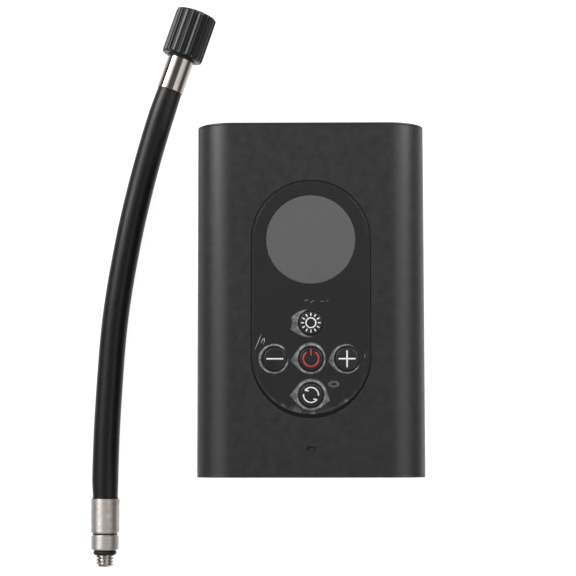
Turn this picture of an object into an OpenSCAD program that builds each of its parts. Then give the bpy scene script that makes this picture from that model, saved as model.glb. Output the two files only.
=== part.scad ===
// Pocket cordless air pump lying on its back, with its detached screw-on hose beside it.
// Origin: middle of the pump's back face. +Y towards the outlet end, +Z out of the control panel.

/* [Casing] */
// Width of the casing
body_w = 75; // [74.8:0.2:80]
// Length of the casing, end caps included
body_l = 116; // [116:0.5:122]
// Depth of the casing from back to front
body_d = 46; // [46:0.5:49]
// Radius of the four long edges
edge_r = 12; // [11.5:0.1:12]
// Thickness of the back and side walls
wall = 2; // [1.8:0.1:2]
// Thickness of the front wall
front_wall = 2.6; // [2.4:0.1:2.6]
// Thickness of each end cap's visible rim
cap_rim = 0.8; // [0.6:0.1:1]

/* [Control panel] */
// Width of the capsule-shaped panel
panel_w = 38.9; // [38.5:0.1:39.2]
// Distance between the centres of the panel's two round ends
panel_span = 38.6; // [38.2:0.2:39.6]
// Radius of the round display window
window_r = 14.5; // [13.5:0.1:14.6]
// Distance between neighbouring buttons
button_pitch = 11.7; // [11.2:0.1:11.8]
// Radius of a button's face
button_r = 3.65; // [3.4:0.05:3.7]
// How far a button moves when it is pressed
button_travel = 0.4; // [0.3:0.05:0.4]

/* [Compressor] */
// Radius of the cylinder's bore
bore_r = 8; // [7.6:0.1:8]
// Throw of the crank, half the stroke
crank_throw = 5; // [4.6:0.1:5]
// Distance from the crank pin to the piston seal's front
rod_reach = 22.4; // [22.4:0.1:22.6]
// Teeth on the motor pinion
pinion_teeth = 12; // [12]
// Teeth on the crank gear
gear_teeth = 52; // [52]
// Gear module
gear_module = 0.5; // [0.5]
// Radius of the motor can
motor_r = 13.8; // [13:0.1:13.8]

/* [Battery] */
// Radius of a battery cell
cell_r = 9.1; // [8.9:0.05:9.1]
// Length of a battery cell
cell_l = 65; // [64:0.5:65]

/* [Hose] */
// Outer radius of the hose
hose_r = 4.55; // [4.4:0.05:4.55]
// Nominal radius of the M6 thread
thread_r = 3; // [3]
// Radius of the chuck knob over its ridges
knob_r = 7.15; // [7:0.05:7.15]
// Length of the chuck knob
knob_l = 16.6; // [16.2:0.1:17]
// Number of flutes around the chuck knob
flutes = 16; // [12:1:18]
// Angle of the chuck's axis away from +Y
chuck_angle = 19; // [19]

/* [Hidden] */
$fn = 64;
eps = 0.01;

// Colours
casing_black = "#333335";
gloss_black = "#141416";
window_grey = "#68686a";
film_clear = [0.85, 0.87, 0.9, 0.3];
nickel = "#b9b4ae";
steel = "#9a9da1";
brass = "#b08d45";
rubber_black = "#1c1c1e";
board_green = "#1f4d33";
cell_blue = "#2f5f8f";
plastic_grey = "#55585c";
plastic_white = "#d8dad8";

// Gap round a piece that only touches its neighbour
fit_gap = 0.05;
// Length by which a cutter runs past the face it cuts
over = 1;

// Casing, measured from its middle
inner_d = body_d - wall - front_wall;
inner_z = wall + inner_d / 2;
inner_r = edge_r - wall;
inner_front = body_d - front_wall;
sleeve_l = body_l - 2 * cap_rim;
plug_t = 2.4;
plug_gap = 0.15;
plug_y = sleeve_l / 2 - plug_t;
mid_z = 22;

// Front panel stack
panel_gap = 0.15;
panel_top = body_d - 0.1;
panel_t = 1.4;
panel_bottom = panel_top - panel_t;
ledge = 2;
film_t = 0.1;
film_inset = 0.4;
film_short = 0.8;
film_shift = [-0.15, film_short / 2, 0];
window_y = panel_span / 2;
pad_y = -panel_span / 2 - 0.4;
key_top = body_d + 0.3;
key_gap = 0.2;
key_flange_r = 4.4;
key_flange_t = 1;
key_flange_top = panel_bottom - 0.3;
key_stem_end = 42.5;
key_chamfer = 0.3;
key_stem_r = 1.2;
slot_y = -48.8;
slot_w = 2.9;
slot_h = 1.6;
slot_recess = 0.5;
slot_lens_lift = 0.3;

// Where each button stands, around the power button
key_places = [
    [0, pad_y + button_pitch], [-button_pitch, pad_y], [0, pad_y], [button_pitch, pad_y],
    [0, pad_y - button_pitch]
];
LIGHT = 0;
MINUS = 1;
POWER = 2;
PLUS = 3;
MODE = 4;

// Control board and what stands on it
board_t = 1.6;
board_top = 40.8;
board_bottom = board_top - board_t;
board_w = 30.4;
board_y = [-50.5, 43];
post_r = 2.2;
post_x = 11;
post_y = [-42, 40];
switch_w = 4.4;
switch_t = 0.7;
switch_pin_r = 1.1;
switch_slack = 0.3;
// Each chip's low corner on the board's inner face, and its width, length and height
chips = [[[-8, -30], [9, 9, 1.4]], [[4, -20], [6, 5, 1.2]], [[3, 12], [7, 7, 1.6]]];
board_screw_r = 1;
board_screw_head = [1.9, 1.4];
board_screw_reach = 1.8;

// Case screws at the bottom cap
boss_w = 5.2;
boss_x = 12;
boss_l = 4;
boss_reach = 5;
boss_gap = 0.2;
boss_root = 0.5;
case_screw_r = 0.8;
case_screw_z = [wall + 2.6, inner_front - 2.6];
case_screw_l = 6.6;
case_screw_head = [1.7, 1];
case_screw_sink = 0.2;
head_hole = [1.8, 1.2];
slot_cut = [1.8, 1, 0.4];

// Vents in the bottom cap
vent_count = 5;
vent_first = 16;
vent_pitch = 3;
vent_size = [1.4, 16];

// Drive train: motor and crank side by side, both along Y
centre_distance = gear_module * (pinion_teeth + gear_teeth) / 2;
motor_x = 4;
crank_x = motor_x + centre_distance;
motor_y = [-42, -11];
bell_t = 3;
bell_floor = 0.6;
can_wall = 1.4;
nose_r = 3.1;
nose_l = 1.6;
magnet_t = 1.8;
magnet_l = 22;
magnet_start = 4;
magnet_span = 130;
armature_r = 10;
armature_l = 20;
armature_start = 5;
commutator_r = 4;
commutator_l = 3.6;
lead_r = 0.8;
lead_x = 6;
lead_drop = 0.4;
motor_screw_r = 1.2;
motor_screw_z = 8;
motor_screw_l = 2.4;
shaft_r = 1;
shaft_play = 0.2;
crank_shaft_r = 1.5;
running = 0.05;
plate_y = -11;
plate_t = 3;
plate_x = [-10, 34];
plate_z = [7, 37];
bracket_t = 3.6;
bracket_l = 6;
bracket_h = 14;
mount_w = 6;
mount_x = [-8, 19];
cradle_l = 8;
gear_y = -7.4;
gear_t = 4.4;
disc_t = 5.4;
disc_r = 8.5;
disc_start = gear_y + gear_t;
disc_front = disc_start + disc_t;
lightening_r = 1.8;
lightening_x = 3;
lightening_z = 5.2;
bearing_r = 5;
bearing_back = 1.4;
pressure_angle = 20;

// Piston at the end of its stroke farthest from the head
piston_y = 9;
pin_x = crank_x + crank_throw;
seal_x = pin_x - rod_reach;
seal_t = 1;
big_end_w = 6;
big_end_r = 5.4;
big_end_bore = 3.6;
rod_w = 5;
rod_t = 4;
crown_t = 2.8;
crown_gap = 0.5;
seal_hub_r = 4;
bearing_play = 0.2;
big_end_y = piston_y - big_end_w / 2;
open_pivot_gap = 0.3;
head_clearance = 0.4;
bore_x = seal_x - 2 * crank_throw - head_clearance;
bore_l = 17;
flange_w = 22;
flange_t = 4.4;
barrel_r = 10;
gasket_t = 0.5;
valve_hole_r = 3.2;
reed_r = 2.9;
reed_t = 0.5;
head_pocket = 2.4;
head_t = 5.5;
head_x = bore_x - gasket_t - head_t;
head_screw_offset = 8.7;
head_screw_r = 1;
head_screw_short = 0.4;

// Air line from the head to the outlet
outlet_x = -12;
tube_in_r = 2.2;
tube_out_r = 3.2;
passage_r = 1.2;
spigot_l = 3.2;
barb_l = 5.4;
tee_y = 29;
tee_w = 8;
tee_t = 4;
tee_top = 7.6;
tube_gap = 0.2;
sensor_in_r = 1.4;
sensor_out_r = 2.2;
sensor_bore_r = 0.7;
sensor_size = [7, 7, 4.4];
sensor_nose = 3.6;
socket_r = 5.6;
socket_y = 46;
seat_r = 4.05;
seat_depth = 1.5;
socket_bore_r = 3.05;
socket_bore_l = 7;
socket_spigot = 4;
// Ends of the two lengths of air tube
air_line = [[piston_y + flange_w / 2, tee_y - tee_t / 2], [tee_y + tee_t / 2, socket_y]];
sensor_tube_l = board_bottom - sensor_size[2] - tube_gap - mid_z - tee_w / 2 - tube_gap;

// Lamp and charging port
lamp_x = 13;
lamp_w = 15;
lamp_h = 5;
lamp_board_size = [18, 1.2, 10];
lamp_gap = 0.4;
led_pitch = 4.5;
led_w = 3;
led_t = 0.8;
usb_w = 8.94;
usb_h = 3.26;
usb_wall = 0.3;
usb_l = 7.2;
usb_sink = 0.3;
usb_gap = 0.2;
tongue = [6.6, 5.7, 0.7];
tongue_start = 1.2;
usb_board_size = [18, 7, 1.2];

// Batteries, each inside one rounded long edge of the casing
cell_x = -(body_w / 2 - edge_r) + 0.1;
cell_z = [edge_r, body_d - front_wall - edge_r + wall];
cell_y = -53.5;
cap_r = 2.8;
cap_t = 0.4;
tab_w = 6;
tab_t = 0.3;
tab_over = 4;
rib_gap = 0.1;
rib_t = 2;
rib_y = [-50, -26, 6];
rib_reach = 0.4;
rib_inset = 0.3;
web_w = 10;
web_t = 1.2;

// Hose: route of its middle line, then the fittings at its two ends
hose_start = [-70.9, -65.6, 4.9];
chuck_start = [-49.2, 76.6, 7.15];
route = [
    hose_start, [-71, -59, 4.8], [-70.9, -52, 4.6], [-70.6, -42, 4.6], [-70.1, -32, 4.6],
    [-69.5, -22, 4.6], [-68.8, -12, 4.6], [-67.8, -2, 4.6], [-66.4, 8, 4.6], [-64.7, 18, 4.6],
    [-62.6, 29, 4.6], [-60.1, 40, 4.7], [-57.6, 49.8, 5.1], [-54.8, 59.5, 5.9], [-52, 68.4, 6.7],
    chuck_start
];
start_way = [0, 1, 0];
end_way = [sin(chuck_angle), cos(chuck_angle), 0];
tube_sides = 12;
ferrule_r = 4.9;
ferrule_l = 12;
collar_r = 4.7;
collar_l = 5.5;
gland_r = 2.25;
o_ring_r = 0.85;
thread_start = ferrule_l + collar_l + 2 * o_ring_r;
thread_pitch = 1.1;
thread_turns = 3;
thread_depth = 0.55;
thread_l = 3.9;
chuck_ferrule_r = 4.6;
knob_start = 12.4;
knob_end = knob_start + knob_l;
flute_r = 1.5;
flute_depth = 0.4;
neck_r = 3;
neck_end = knob_start + 4.4;
head_end = neck_end + 1.2;
cavity_r = 4.3;
head_r = 3.9;
head_play = 0.4;
neck_play = 0.08;
skirt = [chuck_ferrule_r + 0.3, 0.8];
pin = [0.8, 1.4];
valve_r = 3.85;
valve_l = 8;

// ---- Shared shapes ----

// Rectangle with round corners, about its centre
module rounded_rect(w, d, r) {
    square([w - 2 * r, d], center = true);
    square([w, d - 2 * r], center = true);
    for (x = [-1, 1], y = [-1, 1])
        translate([x * (w / 2 - r), y * (d / 2 - r)]) circle(r);
}

// Capsule along Y, where span separates its two round ends
module capsule(w, span) {
    square([w, span], center = true);
    for (y = [-1, 1]) translate([0, y * span / 2]) circle(w / 2);
}

// Extrudes a section drawn in X and Z along Y
module along_y(y, length) {
    translate([0, y + length, 0]) rotate([90, 0, 0]) linear_extrude(length) children();
}

module rod_x(x, y, z, length, r) {
    translate([x, y, z]) rotate([0, 90, 0]) cylinder(h = length, r = r);
}

module rod_y(x, y, z, length, r) {
    translate([x, y, z]) rotate([-90, 0, 0]) cylinder(h = length, r = r);
}

module rod_z(x, y, z, length, r) {
    translate([x, y, z]) cylinder(h = length, r = r);
}

// Tube along Y
module pipe_y(x, y, z, length, outer, inner) {
    difference() {
        rod_y(x, y, z, length, outer);
        rod_y(x, y - 1, z, length + 2, inner);
    }
}

// Box given by its low corner and size
module block(corner, size) {
    translate(corner) cube(size);
}

module casing_section() {
    translate([0, body_d / 2]) rounded_rect(body_w, body_d, edge_r);
}

module inner_section(gap = 0) {
    translate([0, inner_z])
        rounded_rect(body_w - 2 * wall - 2 * gap, inner_d - 2 * gap, inner_r - gap);
}

// Round shape turned about Z, where each point is [radius, height]
module turned(points) {
    rotate_extrude() polygon(points);
}

// ---- Casing ----

module case_bosses() {
    for (x = [-1, 1]) {
        block([x * boss_x - boss_w / 2, -plug_y + boss_gap, wall - boss_root],
            [boss_w, boss_l, boss_reach]);
        block([x * boss_x - boss_w / 2, -plug_y + boss_gap, inner_front - boss_reach + boss_root],
            [boss_w, boss_l, boss_reach]);
    }
}

module board_posts() {
    for (x = [-1, 1], y = post_y)
        rod_z(x * post_x, y, board_top, inner_front - board_top + boss_root, post_r);
}

module shell_sleeve() color(casing_black) difference() {
    union() {
        difference() {
            along_y(-sleeve_l / 2, sleeve_l) casing_section();
            along_y(-sleeve_l / 2 - over, sleeve_l + 2 * over) inner_section();
        }
        case_bosses();
        board_posts();
    }
    translate([0, 0, panel_bottom]) linear_extrude(panel_t + over)
        capsule(panel_w + 2 * panel_gap, panel_span);
    translate([0, 0, inner_front - over]) linear_extrude(front_wall + 2 * over) {
        capsule(panel_w - 2 * ledge, panel_span);
        translate([0, slot_y]) rotate(90) capsule(slot_h, slot_w - slot_h);
    }
    for (x = [-1, 1], z = case_screw_z)
        rod_y(x * boss_x, -plug_y, z, boss_l + over, case_screw_r + fit_gap);
    for (x = [-1, 1], y = post_y)
        rod_z(x * post_x, y, board_top - over, board_screw_reach + over + fit_gap, board_screw_r + fit_gap);
}

module lamp_section(gap = 0) {
    translate([lamp_x, mid_z]) rotate(90) capsule(lamp_h + 2 * gap, lamp_w - lamp_h);
}

module top_cap() color(casing_black) difference() {
    union() {
        along_y(sleeve_l / 2, cap_rim) casing_section();
        along_y(plug_y, plug_t) inner_section(plug_gap);
    }
    rod_y(outlet_x, plug_y - over, mid_z, plug_t + cap_rim + 2 * over, socket_r + fit_gap);
    along_y(plug_y - over, plug_t + cap_rim + 2 * over) lamp_section(fit_gap);
}

module usb_section(w, h) {
    translate([0, mid_z]) rounded_rect(w, h, h / 2 - eps);
}

module vent_section() {
    for (side = [-1, 1], i = [0 : vent_count - 1])
        translate([side * (vent_first + i * vent_pitch), mid_z]) square(vent_size, center = true);
}

module bottom_cap() color(casing_black) difference() {
    union() {
        along_y(-body_l / 2, cap_rim) casing_section();
        along_y(-sleeve_l / 2, plug_t) inner_section(plug_gap);
    }
    along_y(-body_l / 2 - over, plug_t + cap_rim + 2 * over) {
        usb_section(usb_w + 2 * usb_gap, usb_h + 2 * usb_gap);
        vent_section();
    }
    for (x = [-1, 1], z = case_screw_z) {
        rod_y(x * boss_x, -body_l / 2 - over, z, plug_t + cap_rim + 2 * over, case_screw_r + fit_gap);
        rod_y(x * boss_x, -body_l / 2 - over, z, over + head_hole[1], head_hole[0]);
    }
}

module case_screws() color(steel) for (x = [-1, 1], z = case_screw_z) difference() {
    union() {
        rod_y(x * boss_x, -body_l / 2 + case_screw_sink, z, case_screw_head[1], case_screw_head[0]);
        rod_y(x * boss_x, -body_l / 2 + case_screw_sink, z, case_screw_l, case_screw_r);
    }
    for (turn = [0, 90])
        translate([x * boss_x, -body_l / 2 + case_screw_sink, z]) rotate([0, turn, 0])
            cube(slot_cut, center = true);
}

// ---- Panel ----

// Places its children at each button
module at_keys() {
    for (place = key_places) translate(place) children();
}

module control_panel() color(gloss_black) translate([0, 0, panel_bottom])
    linear_extrude(panel_t) difference() {
        capsule(panel_w, panel_span);
        translate([0, window_y]) circle(window_r + fit_gap);
        at_keys() circle(button_r + key_gap);
    }

module display_window() color(window_grey)
    rod_z(0, window_y, panel_bottom, panel_t, window_r);

module protective_film() color(film_clear) translate([0, 0, panel_top])
    linear_extrude(film_t) difference() {
        translate(film_shift) capsule(panel_w - 2 * film_inset, panel_span - film_short);
        at_keys() circle(button_r + 2 * key_gap);
    }

module indicator_lens() color(plastic_white) translate([0, slot_y, board_top + slot_lens_lift])
    linear_extrude(body_d - slot_recess - board_top - slot_lens_lift) rotate(90)
        capsule(slot_h - 2 * fit_gap, slot_w - slot_h);

module button(key) {
    translate(key_places[key]) turned([
        [0, key_stem_end], [key_stem_r, key_stem_end], [key_stem_r, key_flange_top - key_flange_t],
        [key_flange_r, key_flange_top - key_flange_t], [key_flange_r, key_flange_top],
        [button_r, key_flange_top], [button_r, key_top - key_chamfer],
        [button_r - key_chamfer, key_top], [0, key_top]
    ]);
}

module button_light() color(gloss_black) button(LIGHT);
module button_minus() color(gloss_black) button(MINUS);
module button_power() color(gloss_black) button(POWER);
module button_plus() color(gloss_black) button(PLUS);
module button_mode() color(gloss_black) button(MODE);

module display_module() color(plastic_white)
    rod_z(0, window_y, board_top, panel_bottom - board_top - panel_gap, window_r - 0.5);

// ---- Control board ----

module control_board() color(board_green) difference() {
    block([-board_w / 2, board_y[0], board_bottom], [board_w, board_y[1] - board_y[0], board_t]);
    for (x = [-1, 1], y = post_y)
        rod_z(x * post_x, y, board_bottom - over, board_t + 2 * over, board_screw_r + fit_gap);
}

module board_screws() color(steel) for (x = [-1, 1], y = post_y) {
    rod_z(x * post_x, y, board_bottom - board_screw_head[1], board_screw_head[1], board_screw_head[0]);
    rod_z(x * post_x, y, board_bottom, board_t + board_screw_reach, board_screw_r);
}

module tact_switches() color(steel) at_keys() {
    block([-switch_w / 2, -switch_w / 2, board_top], [switch_w, switch_w, switch_t]);
    rod_z(0, 0, board_top, key_stem_end - button_travel - switch_slack - board_top, switch_pin_r);
}

module board_chips() color(rubber_black) for (chip = chips)
    block([chip[0][0], chip[0][1], board_bottom - chip[1][2]], chip[1]);

// ---- Battery ----

module battery_cell(z) {
    rod_y(cell_x, cell_y, z, cell_l, cell_r);
    rod_y(cell_x, cell_y + cell_l, z, cap_t, cap_r);
}

module battery_cell_back() color(cell_blue) battery_cell(cell_z[0]);
module battery_cell_front() color(cell_blue) battery_cell(cell_z[1]);

module battery_holder() color(plastic_grey) {
    for (y = rib_y) along_y(y, rib_t) difference() {
        intersection() {
            inner_section(rib_inset);
            translate([-body_w / 2, 0]) square([body_w / 2 + cell_x + cell_r + rib_reach, body_d]);
        }
        for (z = cell_z) translate([cell_x, z]) circle(cell_r + rib_gap);
    }
    block([cell_x - web_w / 2, rib_y[0], (cell_z[0] + cell_z[1] - web_t) / 2],
        [web_w, rib_y[2] - rib_y[0], web_t]);
}

module battery_tabs() color(nickel) for (y = [cell_y - tab_t, cell_y + cell_l + cap_t])
    block([cell_x - tab_w / 2, y, cell_z[0] - tab_over],
        [tab_w, tab_t, cell_z[1] - cell_z[0] + 2 * tab_over]);

// ---- Motor ----

module at_motor_screws(y, length, r) {
    for (z = [-1, 1]) rod_y(motor_x, y, mid_z + z * motor_screw_z, length, r);
}

module motor_can() color(steel) difference() {
    union() {
        rod_y(motor_x, motor_y[0], mid_z, motor_y[1] - motor_y[0], motor_r);
        rod_y(motor_x, motor_y[1], mid_z, nose_l, nose_r);
    }
    rod_y(motor_x, motor_y[0] - over, mid_z, motor_y[1] - motor_y[0] - can_wall + over,
        motor_r - can_wall);
    rod_y(motor_x, motor_y[0], mid_z, motor_y[1] - motor_y[0] + nose_l + over, shaft_r + running);
    at_motor_screws(motor_y[1] - can_wall - over, can_wall + 2 * over, motor_screw_r + fit_gap);
}

module motor_end_bell() color(plastic_white) difference() {
    rod_y(motor_x, motor_y[0] - bell_t, mid_z, bell_t, motor_r);
    rod_y(motor_x, motor_y[0] - bell_t + bell_floor, mid_z, bell_t, shaft_r + running);
}

module motor_magnets() color(plastic_grey)
    translate([motor_x, motor_y[0] + magnet_start, mid_z]) rotate([-90, 0, 0])
        for (side = [0, 180]) rotate(side - magnet_span / 2) rotate_extrude(angle = magnet_span)
            translate([motor_r - can_wall - fit_gap - magnet_t, 0]) square([magnet_t, magnet_l]);

module motor_shaft() color(steel)
    rod_y(motor_x, motor_y[0] - bell_t + bell_floor + shaft_play, mid_z,
        disc_start - motor_y[0] + bell_t - bell_floor, shaft_r);

module armature() color(brass)
    pipe_y(motor_x, motor_y[0] + armature_start, mid_z, armature_l, armature_r, shaft_r);

module commutator() color(brass)
    pipe_y(motor_x, motor_y[0] + over, mid_z, commutator_l, commutator_r, shaft_r);

module motor_leads() color(rubber_black) for (x = [motor_x - lead_x, motor_x + lead_x]) {
    rod_y(x, motor_y[0] - bell_t - over, mid_z, over, lead_r);
    rod_z(x, motor_y[0] - bell_t - over, mid_z - lead_drop, board_bottom - mid_z + lead_drop, lead_r);
}

module motor_screws() color(steel)
    at_motor_screws(motor_y[1] - motor_screw_l, plate_t + motor_screw_l, motor_screw_r);

// ---- Gears ----

// Point on the involute of a base circle, unwound by an angle in degrees
function involute(base, unwind) = let (t = unwind * PI / 180)
    [base * (cos(unwind) + t * sin(unwind)), base * (sin(unwind) - t * cos(unwind))];
function turn(p, a) = [p[0] * cos(a) - p[1] * sin(a), p[0] * sin(a) + p[1] * cos(a)];
function unwind_at(base, r) = r <= base ? 0 : sqrt(pow(r / base, 2) - 1) * 180 / PI;
// Polar angle of the involute where it crosses radius r
function involute_angle(base, r) = let (p = involute(base, unwind_at(base, r))) atan2(p[1], p[0]);

// Spur gear outline; tip and root are in modules, play narrows each tooth by that angle
module gear_outline(teeth, tip, root, play, phase) {
    pitch_r = gear_module * teeth / 2;
    base = pitch_r * cos(pressure_angle);
    tip_r = pitch_r + tip * gear_module;
    root_r = pitch_r - root * gear_module;
    low = max(base, root_r);
    half = 90 / teeth - play + involute_angle(base, pitch_r);
    flank = [for (i = [0 : 3]) let (r = low + (tip_r - low) * i / 3) involute(base, unwind_at(base, r))];
    right = [for (p = flank) turn(p, -half)];
    left = [for (i = [3 : -1 : 0]) [right[i][0], -right[i][1]]];
    foot = turn([root_r, 0], -half);
    tooth = concat([foot], right, left, [[foot[0], -foot[1]]]);
    polygon([for (k = [0 : teeth - 1], p = tooth) turn(p, phase + k * 360 / teeth)]);
}

module gear(x, teeth, tip, root, play, phase, hole_r) {
    translate([x, gear_y, mid_z]) rotate([-90, 0, 0]) linear_extrude(gear_t) difference() {
        gear_outline(teeth, tip, root, play, phase);
        circle(hole_r);
    }
}

module pinion() color(brass) gear(motor_x, pinion_teeth, 1, 1.2, 1.4, 0, shaft_r);

module crank_gear() color(plastic_white)
    gear(crank_x, gear_teeth, 0.75, 1.25, 0.33, 180 + 180 / gear_teeth, crank_shaft_r);

module crank_shaft() color(steel)
    rod_y(crank_x, plate_y - bearing_back, mid_z, disc_front - plate_y + bearing_back, crank_shaft_r);

module crank_bearing() color(steel)
    pipe_y(crank_x, plate_y, mid_z, plate_t, bearing_r, crank_shaft_r + running);

module counterweight() color(steel) difference() {
    rod_y(crank_x, disc_start, mid_z, disc_t, disc_r);
    for (x = [crank_x, pin_x])
        rod_y(x, disc_start - over, mid_z, disc_t + 2 * over, crank_shaft_r);
    for (z = [-1, 1])
        rod_y(crank_x + lightening_x, disc_start - over, mid_z + z * lightening_z,
            disc_t + 2 * over, lightening_r);
}

module crank_pin() color(steel)
    rod_y(pin_x, disc_start, mid_z, big_end_y - open_pivot_gap - disc_start, crank_shaft_r);

module gear_frame() color(steel) difference() {
    union() {
        block([plate_x[0], plate_y, plate_z[0]],
            [plate_x[1] - plate_x[0], plate_t, plate_z[1] - plate_z[0]]);
        block([bore_x + (flange_t - bracket_t) / 2, plate_y + plate_t, mid_z - bracket_h / 2],
            [bracket_t, bracket_l, bracket_h]);
    }
    rod_y(motor_x, plate_y - over, mid_z, plate_t + 2 * over, nose_r + fit_gap);
    rod_y(crank_x, plate_y - over, mid_z, plate_t + 2 * over, bearing_r + fit_gap);
    at_motor_screws(plate_y - over, plate_t + 2 * over, motor_screw_r + fit_gap);
}

module rubber_mounts() color(rubber_black) {
    for (x = mount_x) block([x, plate_y, wall], [mount_w, plate_t, plate_z[0] - wall]);
    block([bore_x, piston_y - cradle_l / 2, wall],
        [flange_t, cradle_l, mid_z - flange_w / 2 - wall]);
}

// ---- Piston and cylinder ----

module piston_rod() color(plastic_grey) difference() {
    union() {
        rod_y(pin_x, big_end_y, mid_z, big_end_w, big_end_r);
        block([seal_x + seal_t + over, piston_y - rod_t / 2, mid_z - rod_w / 2],
            [pin_x - seal_x - seal_t - over, rod_t, rod_w]);
        rod_x(seal_x + seal_t, piston_y, mid_z, crown_t, bore_r - crown_gap);
        rod_x(seal_x, piston_y, mid_z, seal_t, seal_hub_r);
    }
    rod_y(pin_x, big_end_y - over, mid_z, big_end_w + 2 * over, big_end_bore);
}

module rod_bearing() color(steel)
    pipe_y(pin_x, big_end_y, mid_z, big_end_w, big_end_bore, crank_shaft_r + bearing_play);

module piston_seal() color(rubber_black) difference() {
    rod_x(seal_x, piston_y, mid_z, seal_t, bore_r - running);
    rod_x(seal_x - over, piston_y, mid_z, seal_t + 2 * over, seal_hub_r);
}

module head_screw_holes(x, length, r) {
    for (y = [-1, 1], z = [-1, 1])
        rod_x(x, piston_y + y * head_screw_offset, mid_z + z * head_screw_offset, length, r);
}

module flange_block(x, length) {
    block([x, piston_y - flange_w / 2, mid_z - flange_w / 2], [length, flange_w, flange_w]);
}

module cylinder_barrel() color(steel) difference() {
    union() {
        flange_block(bore_x, flange_t);
        rod_x(bore_x, piston_y, mid_z, bore_l, barrel_r);
    }
    rod_x(bore_x - over, piston_y, mid_z, bore_l + 2 * over, bore_r);
    head_screw_holes(bore_x - over, flange_t + 2 * over, head_screw_r + fit_gap);
}

module head_gasket() color(rubber_black) difference() {
    flange_block(bore_x - gasket_t, gasket_t);
    rod_x(bore_x - gasket_t - over, piston_y, mid_z, gasket_t + 2 * over, valve_hole_r);
    head_screw_holes(bore_x - gasket_t - over, gasket_t + 2 * over, head_screw_r + fit_gap);
}

module cylinder_head() color(steel) difference() {
    union() {
        flange_block(head_x, head_t);
        rod_y(outlet_x, piston_y + flange_w / 2, mid_z, spigot_l, tube_in_r - fit_gap);
    }
    rod_x(bore_x - gasket_t - head_pocket, piston_y, mid_z, head_pocket + over, valve_hole_r);
    rod_y(outlet_x, piston_y, mid_z, flange_w, passage_r);
    head_screw_holes(head_x - over, head_t + 2 * over, head_screw_r + fit_gap);
}

module outlet_valve() color(rubber_black)
    rod_x(bore_x - gasket_t - 2 * reed_t, piston_y, mid_z, reed_t, reed_r);

module head_screws() color(steel)
    head_screw_holes(head_x, head_t + gasket_t + flange_t - head_screw_short, head_screw_r);

// ---- Air line ----

module air_tubes() color(plastic_white) {
    for (ends = air_line)
        pipe_y(outlet_x, ends[0] + tube_gap, mid_z, ends[1] - ends[0] - 2 * tube_gap, tube_out_r, tube_in_r);
    difference() {
        rod_z(outlet_x, tee_y, mid_z + tee_w / 2 + tube_gap, sensor_tube_l, sensor_out_r);
        rod_z(outlet_x, tee_y, mid_z, tee_w / 2 + sensor_tube_l + over, sensor_in_r);
    }
}

module tee_fitting() color(plastic_grey) difference() {
    union() {
        block([outlet_x - tee_w / 2, tee_y - tee_t / 2, mid_z - tee_w / 2], [tee_w, tee_t, tee_w]);
        rod_y(outlet_x, tee_y - barb_l, mid_z, 2 * barb_l, tube_in_r - fit_gap);
        rod_z(outlet_x, tee_y, mid_z, tee_top, sensor_in_r - fit_gap);
    }
    rod_y(outlet_x, tee_y - barb_l - over, mid_z, 2 * (barb_l + over), passage_r);
    rod_z(outlet_x, tee_y, mid_z, tee_top + over, sensor_bore_r);
}

module pressure_sensor() color(rubber_black) difference() {
    union() {
        block([outlet_x - sensor_size[0] / 2, tee_y - sensor_size[1] / 2, board_bottom - sensor_size[2]],
            sensor_size);
        rod_z(outlet_x, tee_y, board_bottom - sensor_size[2] - sensor_nose, sensor_nose + over,
            sensor_in_r - fit_gap);
    }
    rod_z(outlet_x, tee_y, board_bottom - sensor_size[2] - sensor_nose - over, sensor_nose + over,
        sensor_bore_r);
}

module outlet_socket() color(nickel) difference() {
    union() {
        rod_y(outlet_x, socket_y, mid_z, body_l / 2 - socket_y, socket_r);
        rod_y(outlet_x, socket_y - socket_spigot, mid_z, socket_spigot + over, tube_in_r - fit_gap);
    }
    rod_y(outlet_x, body_l / 2 - seat_depth, mid_z, seat_depth + over, seat_r);
    rod_y(outlet_x, body_l / 2 - seat_depth - socket_bore_l, mid_z, socket_bore_l + over, socket_bore_r);
    rod_y(outlet_x, socket_y - socket_spigot - over, mid_z, socket_spigot + 4 * over, passage_r);
}

// ---- Lamp and charging port ----

module lamp_lens() color(plastic_white)
    along_y(plug_y + lamp_gap, body_l / 2 - plug_y - lamp_gap) lamp_section();

module lamp_board() color(board_green) {
    block([lamp_x - lamp_board_size[0] / 2, plug_y - 2 * lamp_board_size[1], mid_z - lamp_board_size[2] / 2],
        lamp_board_size);
    for (i = [-1 : 1])
        block([lamp_x + i * led_pitch - led_w / 2, plug_y - lamp_board_size[1], mid_z - led_w / 2],
            [led_w, led_t, led_w]);
}

module usb_port() color(steel) {
    along_y(-body_l / 2 + usb_sink, usb_l) difference() {
        usb_section(usb_w, usb_h);
        usb_section(usb_w - 2 * usb_wall, usb_h - 2 * usb_wall);
    }
    along_y(-body_l / 2 + usb_sink + usb_l - over, over) usb_section(usb_w - usb_wall, usb_h - usb_wall);
    block([-tongue[0] / 2, -body_l / 2 + tongue_start, mid_z - tongue[2] / 2], tongue);
}

module usb_board() color(board_green)
    block([-usb_board_size[0] / 2, -plug_y + lamp_gap, mid_z - usb_h / 2 - usb_board_size[2]],
        usb_board_size);

// ---- Hose ----

function unit(p) = p / norm(p);
function way(i) = i == 0 ? start_way : i == len(route) - 1 ? end_way : unit(route[i + 1] - route[i - 1]);
// Ring of points square to the route at point i
function ring(i) = let (w = way(i), side = unit(cross(w, [0, 0, 1])), up = cross(side, w))
    [for (k = [0 : tube_sides - 1]) let (a = (k + 0.5) * 360 / tube_sides)
        route[i] + hose_r * (cos(a) * side + sin(a) * up)];
function side_face(i, k) = let (m = (k + 1) % tube_sides, a = i * tube_sides, b = a + tube_sides)
    [a + k, b + k, b + m, a + m];

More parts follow.
